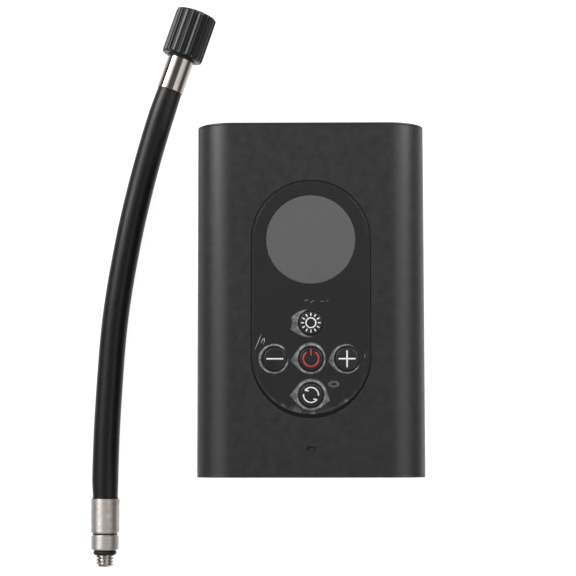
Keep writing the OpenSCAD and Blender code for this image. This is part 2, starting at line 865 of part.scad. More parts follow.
module hose_tube() color(rubber_black) {
    last = (len(route) - 1) * tube_sides;
    polyhedron(
        points = [for (i = [0 : len(route) - 1], p = ring(i)) p],
        faces = concat(
            [[for (k = [0 : tube_sides - 1]) k]],
            [for (i = [0 : len(route) - 2], k = [0 : tube_sides - 1]) side_face(i, k)],
            [[for (k = [tube_sides - 1 : -1 : 0]) last + k]]
        )
    );
}

// Local Z runs from the hose's end to the threaded tip
module on_fitting_axis() {
    translate(hose_start) rotate([90, 0, 0]) children();
}

module hose_ferrule() color(nickel) on_fitting_axis() turned([
    [0, 0], [ferrule_r - 0.2, 0], [ferrule_r, 0.2], [ferrule_r, ferrule_l - 0.5],
    [ferrule_r - 0.5, ferrule_l], [0, ferrule_l]
]);

// Thread outline, from the gland to the tip
function crest(i) = let (s = thread_start + 0.3 + i * thread_pitch, low = thread_r - thread_depth)
    [[low, s], [thread_r, s + 0.4], [thread_r, s + 0.6], [low, s + 1]];

module hose_fitting() color(nickel) on_fitting_axis() difference() {
    turned(concat(
        [[0, ferrule_l], [collar_r - 0.6, ferrule_l], [collar_r, ferrule_l + 0.6],
            [collar_r, ferrule_l + collar_l - 0.5], [collar_r - 0.5, ferrule_l + collar_l],
            [gland_r, ferrule_l + collar_l], [gland_r, thread_start]],
        [for (i = [0 : thread_turns - 1]) each crest(i)],
        [[thread_r - 0.8, thread_start + thread_l], [0, thread_start + thread_l]]
    ));
    rod_z(0, 0, ferrule_l + 2 * over, collar_l + thread_start + thread_l, passage_r);
}

module fitting_o_ring() color(rubber_black) on_fitting_axis()
    translate([0, 0, ferrule_l + collar_l + o_ring_r]) rotate_extrude()
        translate([gland_r + o_ring_r, 0]) circle(o_ring_r);

// Local Z runs from the hose's end to the chuck's mouth
module on_chuck_axis() {
    translate(chuck_start) rotate([0, 0, -chuck_angle]) rotate([-90, 0, 0]) children();
}

// Ferrule with the neck and round head that hold the spinning knob
module chuck_ferrule() color(nickel) on_chuck_axis() turned([
    [0, 0], [chuck_ferrule_r - 0.2, 0], [chuck_ferrule_r, 0.2],
    [chuck_ferrule_r, knob_start + skirt[1] / 2], [neck_r, knob_start + skirt[1] / 2],
    [neck_r, neck_end], [head_r, neck_end], [head_r, head_end], [pin[0], head_end],
    [pin[0], head_end + pin[1]], [0, head_end + pin[1]]
]);

module chuck_knob() color(gloss_black) on_chuck_axis() difference() {
    turned([
        [0, knob_start], [knob_r - 0.7, knob_start], [knob_r, knob_start + 0.7],
        [knob_r, knob_end - 0.8], [knob_r - 0.8, knob_end], [0, knob_end]
    ]);
    for (i = [0 : flutes - 1]) rotate(i * 360 / flutes)
        rod_z(knob_r + flute_r - flute_depth, 0, knob_start - over, knob_l + 2 * over, flute_r);
    rod_z(0, 0, knob_start - over, skirt[1] + over, skirt[0]);
    rod_z(0, 0, knob_start, knob_l, neck_r + neck_play);
    rod_z(0, 0, neck_end - head_play, knob_end - valve_l - neck_end + head_play, cavity_r);
    rod_z(0, 0, knob_end - valve_l - over, valve_l + 2 * over, valve_r);
}

shell_sleeve();
top_cap();
bottom_cap();
case_screws();
control_panel();
display_window();
protective_film();
indicator_lens();
display_module();
control_board();
board_chips();
board_screws();
tact_switches();
button_light();
button_minus();
button_power();
button_plus();
button_mode();
battery_cell_back();
battery_cell_front();
battery_holder();
battery_tabs();
motor_can();
motor_end_bell();
motor_magnets();
motor_shaft();
armature();
commutator();
pinion();
motor_leads();
motor_screws();
gear_frame();
rubber_mounts();
crank_bearing();
crank_shaft();
crank_gear();
counterweight();
crank_pin();
piston_rod();
rod_bearing();
piston_seal();
cylinder_barrel();  // cylinder
head_gasket();
cylinder_head();
outlet_valve();
head_screws();
air_tubes();
tee_fitting();
pressure_sensor();
outlet_socket();
lamp_lens();
lamp_board();
usb_port();
usb_board();
hose_tube();
hose_ferrule();
hose_fitting();
fitting_o_ring();
chuck_ferrule();
chuck_knob();
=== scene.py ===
"""Looks of the pocket air pump and its detached hose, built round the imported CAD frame."""

import math
import random

import bmesh
import bpy
from mathutils import Matrix, Vector
from mathutils.geometry import delaunay_2d_cdt


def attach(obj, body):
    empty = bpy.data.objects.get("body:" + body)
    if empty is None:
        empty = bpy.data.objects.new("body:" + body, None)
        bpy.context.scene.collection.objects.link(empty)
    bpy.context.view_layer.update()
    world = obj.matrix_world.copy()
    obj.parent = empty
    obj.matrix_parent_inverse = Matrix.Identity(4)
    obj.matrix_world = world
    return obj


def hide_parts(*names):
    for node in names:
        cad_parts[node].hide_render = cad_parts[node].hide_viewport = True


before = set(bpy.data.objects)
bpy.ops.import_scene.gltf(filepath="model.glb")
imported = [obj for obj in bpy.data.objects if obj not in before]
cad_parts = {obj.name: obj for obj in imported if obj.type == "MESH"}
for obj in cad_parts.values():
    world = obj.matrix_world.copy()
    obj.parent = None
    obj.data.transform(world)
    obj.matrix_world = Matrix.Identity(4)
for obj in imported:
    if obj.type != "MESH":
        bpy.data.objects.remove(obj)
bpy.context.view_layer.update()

MM = 0.001
TAU = 2 * math.pi
random.seed(7)
scene = bpy.context.scene


def mm(x, y, z):
    return Vector((x, y, z)) * MM


def add(obj):
    scene.collection.objects.link(obj)
    return obj


# ---- Camera ----

camera_data = bpy.data.cameras.new("camera")
camera_data.lens = 112.49
camera_data.sensor_width = 36
camera_data.clip_start = 0.01
camera_data.clip_end = 20
camera = add(bpy.data.objects.new("camera", camera_data))
camera.location = mm(-1.09, -51.56, 628.75)
roll, tilt, pan = (math.radians(a) for a in (-0.115, 5.385, 0.63))
camera.rotation_euler = (
    Matrix.Rotation(roll, 3, "Z") @ Matrix.Rotation(tilt, 3, "X") @ Matrix.Rotation(pan, 3, "Y")
).to_euler()
scene.camera = camera

# ---- Materials ----


class Nodes:
    """Short calls for building one material's node tree."""

    def __init__(self, name):
        self.material = bpy.data.materials.new(name)
        self.material.use_nodes = True
        self.tree = self.material.node_tree
        self.shader = self.tree.nodes["Principled BSDF"]
        self.coords = self.new("ShaderNodeTexCoord").outputs["Object"]

    def new(self, kind, **values):
        node = self.tree.nodes.new(kind)
        for key, value in values.items():
            setattr(node, key, value)
        return node

    def link(self, source, target):
        self.tree.links.new(source, target)

    def noise(self, size_mm, detail=3.0):
        """Noise whose features are about size_mm."""
        noise = self.new("ShaderNodeTexNoise")
        noise.inputs["Scale"].default_value = 1 / (size_mm * MM)
        noise.inputs["Detail"].default_value = detail
        self.link(self.coords, noise.inputs["Vector"])
        return noise.outputs["Fac"]

    def lines(self, size_mm):
        """Noise that varies only along Y, for lathe marks."""
        split = self.new("ShaderNodeSeparateXYZ")
        self.link(self.coords, split.inputs[0])
        noise = self.new("ShaderNodeTexNoise", noise_dimensions="1D")
        noise.inputs["Scale"].default_value = 1 / (size_mm * MM)
        noise.inputs["Detail"].default_value = 4
        self.link(split.outputs["Y"], noise.inputs["W"])
        return noise.outputs["Fac"]

    def spread(self, fac, low, high, start=0.3, end=0.7):
        """Maps a noise value to low..high."""
        node = self.new("ShaderNodeMapRange")
        limits = {"From Min": start, "From Max": end, "To Min": low, "To Max": high}
        for key, value in limits.items():
            node.inputs[key].default_value = value
        self.link(fac, node.inputs["Value"])
        return node.outputs["Result"]

    def colours(self, fac, low, high, start=0.3, end=0.7):
        """Maps a noise value to a colour between low and high."""
        ramp = self.new("ShaderNodeValToRGB")
        for element, place, colour in zip(ramp.color_ramp.elements, (start, end), (low, high)):
            element.position = place
            element.color = (*colour, 1)
        self.link(fac, ramp.inputs["Fac"])
        return ramp.outputs["Color"]

    def bump(self, height, depth_mm, below=None):
        """Bump from a height value, on top of another bump if one is given."""
        node = self.new("ShaderNodeBump")
        node.inputs["Distance"].default_value = depth_mm * MM
        self.link(height, node.inputs["Height"])
        if below is not None:
            self.link(below, node.inputs["Normal"])
        return node.outputs["Normal"]

    def set(self, **values):
        """Sets the shader's own sockets, with _ for a space in a socket's name."""
        for key, value in values.items():
            self.shader.inputs[key.replace("_", " ")].default_value = value


def shade(colour, factor):
    return tuple(min(1, c * factor) for c in colour)


def plastic(name, colour, roughness, grain_mm=0.3, grain_depth=0.004, mottle=0.12, **extra):
    """Moulded plastic or rubber: mottled colour, uneven gloss and a fine grain."""
    n = Nodes(name)
    broad = n.noise(7, 4)
    fine = n.noise(grain_mm, 2)
    tint = n.colours(broad, shade(colour, 1 - mottle), shade(colour, 1 + mottle))
    n.link(tint, n.shader.inputs["Base Color"])
    gloss = n.spread(n.noise(2.5, 5), roughness * 0.88, roughness * 1.12)
    n.link(gloss, n.shader.inputs["Roughness"])
    dents = n.bump(n.noise(1.2, 2), grain_depth * 0.8)
    n.link(n.bump(fine, grain_depth, dents), n.shader.inputs["Normal"])
    n.set(**extra)
    return n.material


def metal(name, colour, roughness, marks_mm=0.25, depth=0.0015, turned=False, **extra):
    """Machined or plated metal: faint tool marks, stains and uneven gloss.
    turned adds the sideways sheen of lathe marks that run round the Y axis."""
    n = Nodes(name)
    stain = n.lines(0.45) if turned else n.noise(4, 5)
    tint = n.colours(stain, shade(colour, 0.88), shade(colour, 1.06))
    n.link(tint, n.shader.inputs["Base Color"])
    gloss = n.spread(n.noise(1.5, 5), roughness * 0.75, roughness * 1.35)
    n.link(gloss, n.shader.inputs["Roughness"])
    waves = n.bump(n.noise(2.2, 1), depth * 2)
    n.link(n.bump(n.noise(marks_mm, 3), depth, waves), n.shader.inputs["Normal"])
    if turned:
        around = n.new("ShaderNodeTangent", direction_type="RADIAL", axis="Y")
        n.link(around.outputs["Tangent"], n.shader.inputs["Tangent"])
        n.set(Anisotropic=0.85, Anisotropic_Rotation=0.25)
    n.set(**{"Metallic": 1.0, **extra})
    return n.material


def wrapped(name, colour, roughness, coat):
    """Shiny shrink wrap or lacquer over a coloured base."""
    return plastic(name, colour, roughness, 0.6, 0.003, 0.1, Coat_Weight=coat, Coat_Roughness=0.12)


LOOKS = {
    "casing": plastic("casing_black", (0.0205, 0.0205, 0.021), 0.37, 0.35, 0.014, 0.02,
                      Specular_IOR_Level=0.75),
    "panel_gloss": plastic("panel_black", (0.0105, 0.0105, 0.011), 0.16, 0.8, 0.001, 0.1),
    "window_grey": plastic("window_smoked", (0.112, 0.112, 0.114), 0.5, 0.4, 0.0002, 0.01),
    "key_gloss": plastic("key_black", (0.017, 0.017, 0.0175), 0.4, 0.35, 0.01, 0.3),
    "light_diffuser": plastic("diffuser_white", (0.72, 0.73, 0.72), 0.35, 0.5, 0.004, 0.04,
                              Transmission_Weight=0.25, IOR=1.49),
    "circuit_board": wrapped("board_green", (0.015, 0.09, 0.04), 0.4, 0.4),
    "chip_black": plastic("chip_black", (0.02, 0.02, 0.02), 0.5, 0.15, 0.004),
    "screw_steel": metal("screw_steel", (0.42, 0.42, 0.43), 0.32),
    "cell_wrap": wrapped("cell_blue", (0.03, 0.11, 0.28), 0.35, 0.5),
    "inner_plastic": plastic("inner_grey", (0.09, 0.095, 0.1), 0.5, 0.4, 0.006),
    "white_nylon": plastic("nylon_white", (0.62, 0.62, 0.58), 0.45, 0.5, 0.004, 0.05,
                           Subsurface_Weight=0.1, Subsurface_Scale=0.001),
    "nickel": metal("nickel_satin", (0.77, 0.72, 0.68), 0.54, 0.3, 0.0015, turned=True,
                    Metallic=0.8),
    "polished_nickel": metal("nickel_polished", (0.66, 0.61, 0.57), 0.06, 0.5, 0.0006),
    "motor_steel": metal("motor_steel", (0.5, 0.5, 0.51), 0.3, 0.2, 0.003),
    "magnet": plastic("magnet_grey", (0.06, 0.06, 0.065), 0.6, 0.2, 0.01),
    "winding": metal("copper_winding", (0.72, 0.3, 0.14), 0.3, 0.5, 0.03),
    "brass": metal("brass", (0.72, 0.52, 0.22), 0.25),
    "cast_alloy": metal("cast_alloy", (0.55, 0.55, 0.56), 0.45, 0.4, 0.012),
    "soft_rubber": plastic("rubber_black", (0.012, 0.012, 0.012), 0.55, 0.3, 0.006),
    "hose_rubber": plastic("hose_black", (0.0085, 0.0085, 0.009), 0.36, 0.5, 0.003, 0.15,
                           Specular_IOR_Level=0.42),
    "knob_plastic": plastic("knob_black", (0.0065, 0.0065, 0.007), 0.3, 0.5, 0.0006, 0.12,
                            Specular_IOR_Level=0.5),
}
PRINT_WHITE = plastic("print_white", (0.86, 0.86, 0.85), 0.4, 0.25, 0.001, 0.05)
PRINT_RED = plastic("print_red", (0.47, 0.033, 0.042), 0.4, 0.25, 0.001, 0.08)


def film_material(name, haze, alpha_low, alpha_high):
    """Clear film: a faint haze, whiter where the mesh's whitening attribute says so: painted
    highlight where the film stands up round the keys, and the white of scratches and dust.
    """
    n = Nodes(name)
    sheen_and_scratch_white = n.new("ShaderNodeAttribute", attribute_name="whitening").outputs["Fac"]
    streaks = n.spread(n.noise(0.7, 5), 0.55, 1.15)
    amount = n.new("ShaderNodeMath", operation="MULTIPLY", use_clamp=True)
    n.link(sheen_and_scratch_white, amount.inputs[0])
    n.link(streaks, amount.inputs[1])
    tint = n.colours(amount.outputs[0], haze, shade(haze, 2.8), 0, 1)
    n.link(tint, n.shader.inputs["Base Color"])
    n.link(n.spread(amount.outputs[0], alpha_low, alpha_high, 0, 1), n.shader.inputs["Alpha"])
    n.link(n.spread(n.noise(3, 4), 0.12, 0.22), n.shader.inputs["Roughness"])
    n.link(n.bump(n.noise(5, 2), 0.01), n.shader.inputs["Normal"])
    n.set(IOR=1.46)
    return n.material


# Middle of the painted glint on the indicator window, and the radii over which it fades out
INDICATOR_GLINT_SPOT = mm(0.1, -49.05, 45.5)
INDICATOR_CORE_R, INDICATOR_FADE_R = 0.15, 0.55


def indicator_material():
    """Smoked window with a painted glint: a lighter patch in its middle, painted into its colour.
    """
    n = Nodes("indicator_smoked")
    away = n.new("ShaderNodeVectorMath", operation="SUBTRACT")
    away.inputs[1].default_value = INDICATOR_GLINT_SPOT
    n.link(n.coords, away.inputs[0])
    length = n.new("ShaderNodeVectorMath", operation="LENGTH")
    n.link(away.outputs["Vector"], length.inputs[0])
    painted_glint = n.colours(length.outputs["Value"], (0.05, 0.05, 0.05), (0.001, 0.001, 0.001),
                      INDICATOR_CORE_R * MM, INDICATOR_FADE_R * MM)
    n.link(painted_glint, n.shader.inputs["Base Color"])
    n.link(n.spread(n.noise(1, 3), 0.2, 0.3), n.shader.inputs["Roughness"])
    n.link(n.bump(n.noise(1, 2), 0.002), n.shader.inputs["Normal"])
    n.set(Specular_IOR_Level=0.03)
    return n.material


FILM = film_material("film_haze", (0.2, 0.2, 0.2), 0.055, 0.92)
SCRATCH = film_material("film_scratch", (0.3, 0.3, 0.3), 0.1, 0.9)

# ---- Mesh helpers ----


def solid(name, verts, faces, look, body, smooth_deg=32):
    """A mesh from points in millimetres that rides on a body. look is a slot name or a material."""
    mesh = bpy.data.meshes.new(name)
    mesh.from_pydata([Vector(v) * MM for v in verts], [], faces)
    mesh.validate()
    bm = bmesh.new()
    bm.from_mesh(mesh)
    bmesh.ops.remove_doubles(bm, verts=bm.verts, dist=1e-7)
    bmesh.ops.recalc_face_normals(bm, faces=bm.faces)
    bm.to_mesh(mesh)
    bm.free()
    mesh.shade_smooth()
    mesh.set_sharp_from_angle(angle=math.radians(smooth_deg))
    obj = add(bpy.data.objects.new(name, mesh))
    finish_piece(obj, look, body)
    return obj


def finish_piece(obj, look, body):
    if isinstance(look, str):
        obj.data.materials.append(LOOKS[look])
    else:
        obj.data.materials.append(look)
    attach(obj, body)


def axis_frame(origin, direction):
    """Rotation and place that put local Z along direction, from an origin in millimetres."""
    turn = Vector(direction).normalized().to_track_quat("Z", "Y").to_matrix().to_4x4()
    return Matrix.Translation(Vector(origin)) @ turn


def rounded(profile, radius, steps=4):
    """The profile's points with every corner rounded off by radius."""
    out = [Vector(profile[0])]
    for before, corner, after in zip(profile, profile[1:], profile[2:]):
        before, corner, after = Vector(before), Vector(corner), Vector(after)
        to_before, to_after = before - corner, after - corner
        cut = min(radius, 0.45 * to_before.length, 0.45 * to_after.length)
        a = corner + to_before.normalized() * cut
        b = corner + to_after.normalized() * cut
        for i in range(steps + 1):
            t = i / steps
            out.append((1 - t) ** 2 * a + 2 * t * (1 - t) * corner + t * t * b)
    out.append(Vector(profile[-1]))
    return [(p.x, p.y) for p in out]


def lathe_mesh(profile, place, steps=96, radius_at=None):
    """Points and faces of (radius, height) points turned about the local Z of place.
    radius_at(radius, height, angle) may change each ring's radius."""
    verts, faces, rings = [], [], []
    for r, s in profile:
        if r < 1e-6:
            rings.append([len(verts)])
            verts.append(place @ Vector((0, 0, s)))
            continue
        ring = []
        for k in range(steps):
            a = TAU * k / steps
            radius = radius_at(r, s, a) if radius_at else r
            ring.append(len(verts))
            verts.append(place @ Vector((radius * math.cos(a), radius * math.sin(a), s)))
        rings.append(ring)
    for low, high in zip(rings, rings[1:]):
        for k in range(steps):
            m = (k + 1) % steps
            if len(low) == 1 and len(high) > 1:
                faces.append((low[0], high[m], high[k]))
            elif len(high) == 1 and len(low) > 1:
                faces.append((low[k], low[m], high[0]))
            elif len(low) > 1:
                faces.append((low[k], low[m], high[m], high[k]))
    return verts, faces


def lathe(name, profile, place, look, body, **options):
    smooth = options.pop("smooth_deg", 40)
    verts, faces = lathe_mesh(profile, place, **options)
    return solid(name, verts, faces, look, body, smooth)


def softened(name, node, width, look, body="root", segments=3, sharp_deg=28):
    """The CAD node's own shape with its sharp edges rolled over, which stands for the node."""
    bm = bmesh.new()
    bm.from_mesh(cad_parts[node].data)
    bmesh.ops.remove_doubles(bm, verts=bm.verts, dist=2e-6)
    bmesh.ops.dissolve_limit(bm, angle_limit=math.radians(0.5), verts=bm.verts, edges=bm.edges)
    bm.verts.ensure_lookup_table()
    index = {v: i for i, v in enumerate(bm.verts)}
    mesh = bpy.data.meshes.new(name)
    mesh.from_pydata([v.co for v in bm.verts], [], [[index[v] for v in f.verts] for f in bm.faces])
    bm.free()
    mesh.shade_smooth()
    obj = add(bpy.data.objects.new(name, mesh))
    bevel = obj.modifiers.new("rolled_edges", "BEVEL")
    bevel.width = width * MM
    bevel.segments = segments
    bevel.limit_method = "ANGLE"
    bevel.angle_limit = math.radians(sharp_deg)
    bevel.harden_normals = True
    bevel.miter_outer = "MITER_ARC"
    bevel.use_clamp_overlap = True
    finish_piece(obj, look, body)
    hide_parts(node)
    return obj


# ---- Hose: the cord comes first ----

HOSE_R = 4.55
ROUTE = [
    (-70.9, -65.6, 4.9), (-71, -59, 4.8), (-70.9, -52, 4.6), (-70.6, -42, 4.6), (-70.1, -32, 4.6),
    (-69.5, -22, 4.6), (-68.8, -12, 4.6), (-67.8, -2, 4.6), (-66.4, 8, 4.6), (-64.7, 18, 4.6),
    (-62.6, 29, 4.6), (-60.1, 40, 4.7), (-57.6, 49.8, 5.1), (-54.8, 59.5, 5.9), (-52, 68.4, 6.7),
    (-49.2, 76.6, 7.15),
]
HOSE_START, CHUCK_START = Vector(ROUTE[0]), Vector(ROUTE[-1])
CHUCK_ANGLE = math.radians(19)
CHUCK_WAY = Vector((math.sin(CHUCK_ANGLE), math.cos(CHUCK_ANGLE), 0))
FITTING_WAY = Vector((0, -1, 0))
TUCK = 0.9
SQUEEZE = 0.94


def make_hose():
    """Rubber tube along the route, squeezed in where it enters each ferrule."""
    curve = bpy.data.curves.new("hose_rubber_tube", "CURVE")
    curve.dimensions = "3D"
    curve.bevel_depth = HOSE_R * MM
    curve.bevel_resolution = 10
    curve.resolution_u = 10
    curve.use_fill_caps = True
    spline = curve.splines.new("BEZIER")
    points = [Vector(p) for p in ROUTE]
    points.insert(0, HOSE_START + FITTING_WAY * TUCK)
    points.append(CHUCK_START + CHUCK_WAY * TUCK)
    spline.bezier_points.add(len(points) - 1)
    for i, (bezier, place) in enumerate(zip(spline.bezier_points, points)):
        bezier.co = place * MM
        bezier.handle_left_type = bezier.handle_right_type = "AUTO"
        bezier.radius = SQUEEZE if i in (0, 1, len(points) - 2, len(points) - 1) else 1
    obj = add(bpy.data.objects.new("hose_rubber_tube", curve))
    finish_piece(obj, "hose_rubber", "hose")
    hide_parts("hose_tube")
    return obj


hose = make_hose()
fitting_place = axis_frame(HOSE_START, FITTING_WAY)
chuck_place = axis_frame(CHUCK_START, CHUCK_WAY)

# Threaded end, in millimetres from the tube's end: crimped ferrule, collar, O-ring and thread
FERRULE_R, FERRULE_L = 4.9, 12.0
COLLAR_R, COLLAR_L = 4.7, 5.5
GLAND_R, O_RING_R = 2.25, 0.85
THREAD_R, THREAD_PITCH, THREAD_DEPTH = 3.08, 1.1, 0.6
COLLAR_END = FERRULE_L + COLLAR_L
THREAD_START = COLLAR_END + 2 * O_RING_R
THREAD_END = THREAD_START + 3.9
LIP_R = 4.62
GROOVE, CORE_R, GROOVE_SHADE_R = 0.2, 3.5, 4.2

ferrule_profile = rounded(
    [(0, TUCK + 0.3), (LIP_R, TUCK + 0.3), (LIP_R, 0.12), (LIP_R + 0.06, 0.02),
     (FERRULE_R - 0.02, 0), (FERRULE_R, 0.35), (FERRULE_R - 0.06, 1.6),
     (FERRULE_R - 0.06, FERRULE_L - 1.0), (FERRULE_R - 0.18, FERRULE_L - 0.5),
     (FERRULE_R - 0.7, FERRULE_L - GROOVE), (0, FERRULE_L - GROOVE)],
    0.3,
)
ferrule = lathe("hose_ferrule_shell", ferrule_profile, fitting_place, "nickel", "hose")
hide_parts("hose_ferrule")


def turning_groove(r, s):
    """Shallow lathe marks along the collar."""
    return r + 0.006 * math.sin(s * 9.0) + 0.004 * math.sin(s * 23.0 + 1)


def thread_wave(phase):
    """Depth of the thread, 0 at the crest's flat and 1 at the root, over one pitch."""
    away = abs((phase % 1) - 0.5) * 2
    return min(1, max(0, (1 - away - 0.22) / 0.62))


def fitting_radius(r, s, angle):
    """Lathe marks on the collar and a screw thread on the stud, run out at both ends."""
    if s < COLLAR_END - 0.7:
        return turning_groove(r, s)
    if s <= THREAD_START + 0.05 or r < THREAD_R - 0.3:
        return r
    fade = min(1, (s - THREAD_START) / 0.4, max(0, (THREAD_END + 0.2 - s) / 0.5))
    return r - THREAD_DEPTH * fade * thread_wave((s - THREAD_START) / THREAD_PITCH - angle / TAU)


def spaced(r, start, end, count):
    return [(r, start + (end - start) * i / count) for i in range(count + 1)]


PASSAGE_R = 1.2
fitting_profile = (
    rounded([(0, FERRULE_L - 1), (CORE_R, FERRULE_L - 1), (CORE_R, FERRULE_L + GROOVE),
             (COLLAR_R - 0.65, FERRULE_L + GROOVE), (COLLAR_R, FERRULE_L + 0.7),
             (COLLAR_R, FERRULE_L + 0.9)], 0.1)
    + spaced(COLLAR_R, FERRULE_L + 1, COLLAR_END - 0.75, 30)
    + rounded([(COLLAR_R, COLLAR_END - 0.7), (COLLAR_R, COLLAR_END - 0.45),
               (COLLAR_R - 0.5, COLLAR_END), (0, COLLAR_END)], 0.15)
)
thread_profile = (
    rounded([(0, COLLAR_END - 0.5), (GLAND_R, COLLAR_END - 0.5), (GLAND_R, THREAD_START - 0.1),
             (THREAD_R - 0.5, THREAD_START)], 0.15)
    + spaced(THREAD_R, THREAD_START + 0.06, THREAD_END - 0.7, 44)
    + rounded([(THREAD_R - 0.1, THREAD_END - 0.55), (THREAD_R - 0.85, THREAD_END),
               (PASSAGE_R + 0.3, THREAD_END), (PASSAGE_R, THREAD_END - 0.3),
               (PASSAGE_R, COLLAR_END + 0.5), (0, COLLAR_END + 0.5)], 0.1)
)
fitting = lathe("hose_fitting_turned", fitting_profile, fitting_place, "nickel", "hose", steps=128,
                radius_at=fitting_radius, smooth_deg=50)
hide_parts("hose_fitting")
thread = lathe("hose_fitting_thread", thread_profile, fitting_place, "polished_nickel", "hose",
               steps=128, radius_at=fitting_radius, smooth_deg=50)

# A black rubber ring in the groove between the ferrule and the collar: painted shade, a dark ring
# where the groove only lies in shadow
groove_shade_profile = rounded(
    [(CORE_R - 0.2, FERRULE_L - GROOVE - 0.1), (GROOVE_SHADE_R, FERRULE_L - GROOVE - 0.1),
     (GROOVE_SHADE_R, FERRULE_L + GROOVE + 0.1), (CORE_R - 0.2, FERRULE_L + GROOVE + 0.1),
     (CORE_R - 0.2, FERRULE_L - GROOVE - 0.1)], 0.05)
groove_shade_ring = lathe("fitting_groove_shade_ring", groove_shade_profile, fitting_place, "soft_rubber", "hose")
# A lip of hose rubber where the hose enters the ferrule: painted shade, filling the gap so the
# mouth shows as the dark line of shadow there
MOUTH_R = 4.46
mouth_profile = rounded(
    [(MOUTH_R - 0.4, 0.3), (MOUTH_R - 0.4, -0.45), (MOUTH_R, -0.45), (MOUTH_R, 0.3),
     (MOUTH_R - 0.4, 0.3)], 0.1)
mouth_shade_lip = lathe("hose_mouth_shade_lip", mouth_profile, fitting_place, "hose_rubber", "hose")

ring_mid = COLLAR_END + O_RING_R
o_ring_profile = [
    (GLAND_R + O_RING_R + O_RING_R * math.cos(a), ring_mid + O_RING_R * math.sin(a))
    for a in (math.pi + TAU * i / 28 for i in range(29))
]
o_ring = lathe("fitting_o_ring_rubber", o_ring_profile, fitting_place, "soft_rubber", "hose")
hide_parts("fitting_o_ring")

# Chuck end: polished ferrule with the neck and head that hold the knob
CHUCK_FERRULE_R, CHUCK_LIP_R = 4.6, 4.36
KNOB_R, KNOB_START, KNOB_L = 7.15, 12.4, 16.6
KNOB_END = KNOB_START + KNOB_L
NECK_R, NECK_END, HEAD_R, HEAD_END = 3.0, 16.8, 3.9, 18.0
PIN_R, PIN_END = 0.8, 19.4
FLUTES, FLUTE_DEPTH = 16, 0.6

chuck_profile = rounded(
    [(0, TUCK + 0.3), (CHUCK_LIP_R, TUCK + 0.3), (CHUCK_LIP_R, 0.1), (CHUCK_LIP_R + 0.05, 0),
     (CHUCK_FERRULE_R - 0.02, 0.02), (CHUCK_FERRULE_R, 0.3), (CHUCK_FERRULE_R - 0.03, 3.5),
     (CHUCK_FERRULE_R - 0.03, 9.0), (CHUCK_FERRULE_R, KNOB_START),
     (CHUCK_FERRULE_R, KNOB_START + 0.38),
     (NECK_R, KNOB_START + 0.38), (NECK_R, NECK_END), (HEAD_R, NECK_END), (HEAD_R, HEAD_END),
     (PIN_R, HEAD_END), (PIN_R, PIN_END), (0, PIN_END)],
    0.12,
)
chuck_ferrule = lathe("chuck_ferrule_polished", chuck_profile, chuck_place, "polished_nickel",
                      "hose", steps=128)
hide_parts("chuck_ferrule")


def knob_radius(r, s, angle):
    """Smooth wavy flutes that run out near the rolled rims."""
    if r < KNOB_R - 1.3:
        return r
    wave = 0.5 - 0.5 * math.cos(FLUTES * angle)
    near_rim = min(s - KNOB_START, KNOB_END - s)
    return r + 0.12 - FLUTE_DEPTH * wave**2.4 * min(1, max(0.25, near_rim / 0.9))


VALVE_R, VALVE_L, CAVITY_R = 3.85, 8.0, 4.3
LIP_L = 0.8
knob_profile = (
    rounded([(NECK_R + 0.1, KNOB_START + 0.85), (CHUCK_FERRULE_R + 0.12, KNOB_START + 0.85),
             (CHUCK_FERRULE_R + 0.12, KNOB_START - LIP_L),
             (CHUCK_FERRULE_R + 0.45, KNOB_START - LIP_L + 0.1),
             (CHUCK_FERRULE_R + 0.55, KNOB_START), (KNOB_R - 0.5, KNOB_START),
             (KNOB_R - 0.1, KNOB_START + 0.35), (KNOB_R, KNOB_START + 1.1)], 0.25, 5)
    + spaced(KNOB_R, KNOB_START + 1.4, KNOB_END - 1.4, 12)
    + rounded([(KNOB_R, KNOB_END - 1.1), (KNOB_R - 0.15, KNOB_END - 0.35), (KNOB_R - 0.9, KNOB_END),
               (VALVE_R + 1.1, KNOB_END), (VALVE_R + 0.75, KNOB_END - 0.4)], 0.4, 5)
    + [(VALVE_R + 0.75, KNOB_END - VALVE_L + 0.2), (CAVITY_R, KNOB_END - VALVE_L),
       (CAVITY_R, NECK_END - 0.4), (NECK_R + 0.1, NECK_END - 0.4),
       (NECK_R + 0.1, KNOB_START + 0.85)]
)
knob = lathe("chuck_knob_fluted", knob_profile, chuck_place, "knob_plastic", "chuck",
             steps=FLUTES * 20, radius_at=knob_radius, smooth_deg=50)
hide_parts("chuck_knob")


def insert_radius(r, s, angle):
    """Fine valve thread inside the brass insert."""
    if r > VALVE_R + 0.05:
        return r
    return r + 0.35 * (1 - thread_wave(s / 0.8 + angle / TAU)) - 0.35


INSERT_R, INSERT_L = VALVE_R + 0.72, 7.6
insert_profile = (
    rounded([(VALVE_R, KNOB_END - 0.7), (VALVE_R + 0.3, KNOB_END - 0.3), (INSERT_R, KNOB_END - 0.3),
             (INSERT_R, KNOB_END - INSERT_L), (VALVE_R, KNOB_END - INSERT_L)], 0.12)
    + spaced(VALVE_R, KNOB_END - INSERT_L + 0.05, KNOB_END - 0.75, 56)
)
insert = lathe("chuck_valve_insert", insert_profile, chuck_place, "brass", "chuck",
               radius_at=insert_radius, smooth_deg=60)
SEAL_HOLE_R, SEAL_TOP, SEAL_FLOOR = PIN_R + 0.35, KNOB_END - VALVE_L + 1.2, KNOB_END - VALVE_L + 0.1
seal_profile = rounded(
    [(SEAL_HOLE_R, SEAL_TOP), (3.2, SEAL_TOP), (3.3, SEAL_FLOOR), (SEAL_HOLE_R, SEAL_FLOOR),
     (SEAL_HOLE_R, SEAL_TOP)], 0.15)
seal = lathe("chuck_valve_seal", seal_profile, chuck_place, "soft_rubber", "chuck")

# ---- Casing ----

